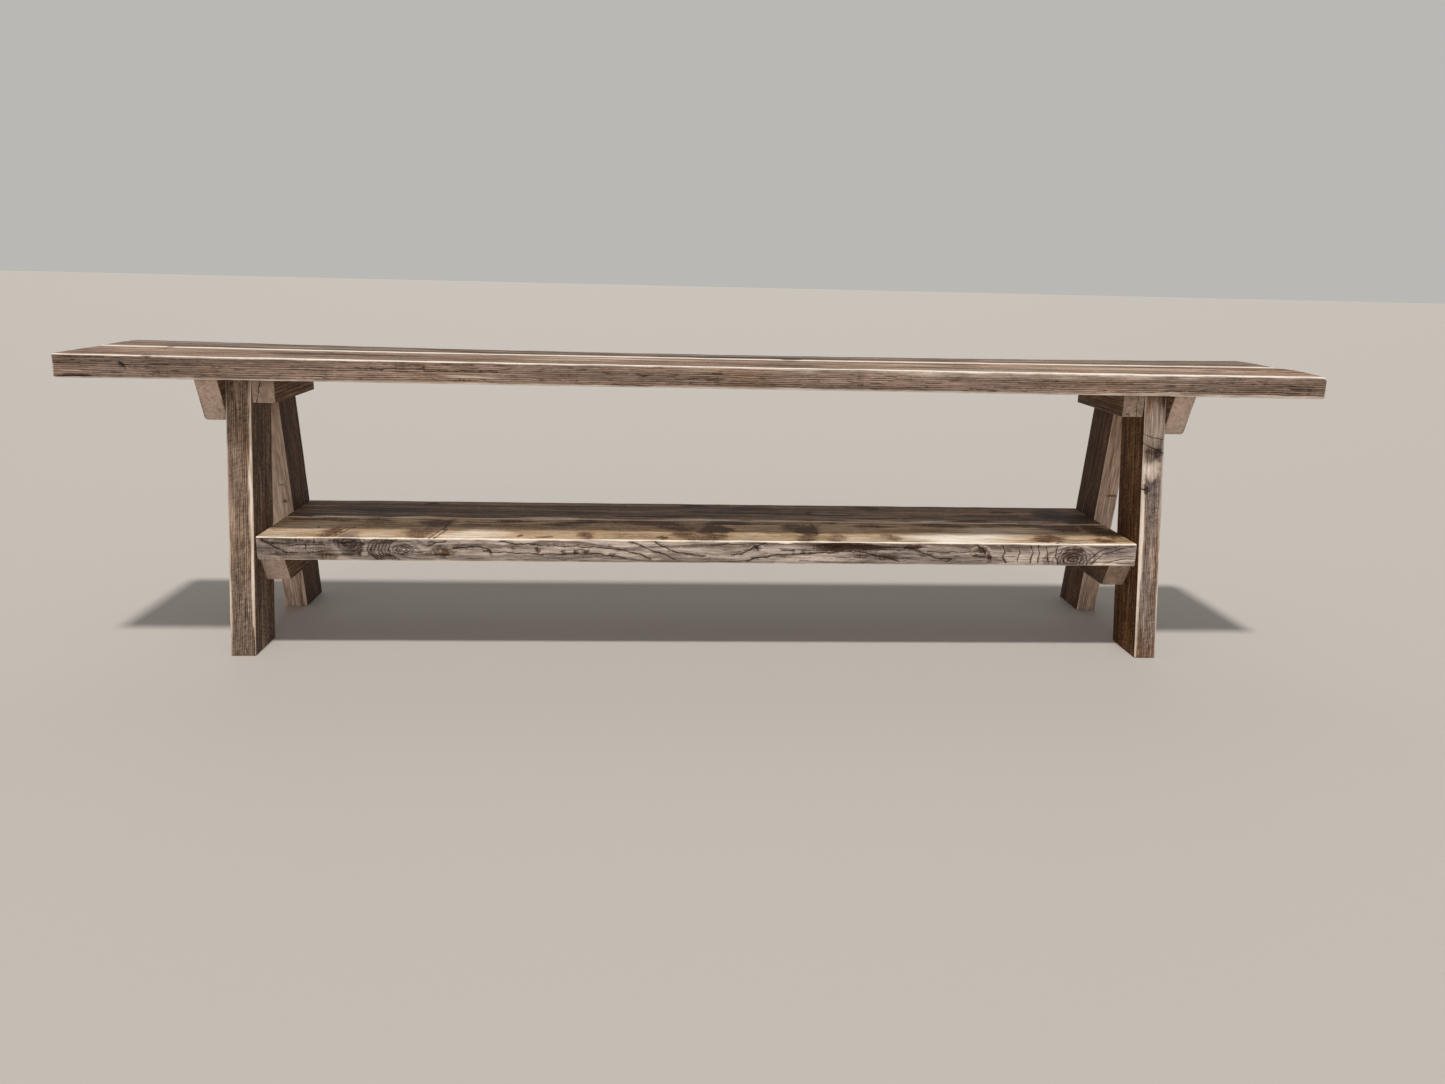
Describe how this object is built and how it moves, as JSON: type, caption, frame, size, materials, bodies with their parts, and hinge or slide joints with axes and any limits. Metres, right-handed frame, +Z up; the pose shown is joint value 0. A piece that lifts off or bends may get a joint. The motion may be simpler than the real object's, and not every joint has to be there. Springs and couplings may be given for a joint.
{
  "type": "bench",
  "caption": "Long low wooden bench with a plank seat, a plank shelf close to the floor and splayed plank legs at both ends, joined by screwed cleats.",
  "frame": {"origin": "on the floor at the bottom centre of the bench, midway between its feet", "axes": "+X along the bench to the right as seen from the front, +Y from front to back, +Z up"},
  "size_m": [1.8, 0.3156, 0.428],
  "materials": {
    "seat_wood": "weathered grey-brown softwood, sanded, with pale worn arrises",
    "shelf_wood": "pale grey-brown softwood with dark knots and stains",
    "leg_wood": "rough-sawn grey-brown softwood",
    "cleat_wood": "rough-sawn softwood with pale cut ends",
    "screw_steel": "zinc plated"
  },
  "bodies": {
    "root": {"front_seat_board": "seat_wood", "back_seat_board": "seat_wood", "front_shelf_board": "shelf_wood", "back_shelf_board": "shelf_wood", "left_front_leg": "leg_wood", "left_back_leg": "leg_wood", "right_front_leg": "leg_wood", "right_back_leg": "leg_wood", "left_outer_seat_cleat": "cleat_wood", "right_outer_seat_cleat": "cleat_wood", "left_inner_seat_cleat": "cleat_wood", "right_inner_seat_cleat": "cleat_wood", "left_shelf_cleat": "cleat_wood", "right_shelf_cleat": "cleat_wood", "left_leg_top_screws": "screw_steel", "right_leg_top_screws": "screw_steel", "left_outer_seat_cleat_screws": "screw_steel", "right_outer_seat_cleat_screws": "screw_steel", "left_inner_seat_cleat_screws": "screw_steel", "right_inner_seat_cleat_screws": "screw_steel", "left_leg_shelf_screws": "screw_steel", "right_leg_shelf_screws": "screw_steel", "left_shelf_cleat_screws": "screw_steel", "right_shelf_cleat_screws": "screw_steel"}
  },
  "joints": []
}
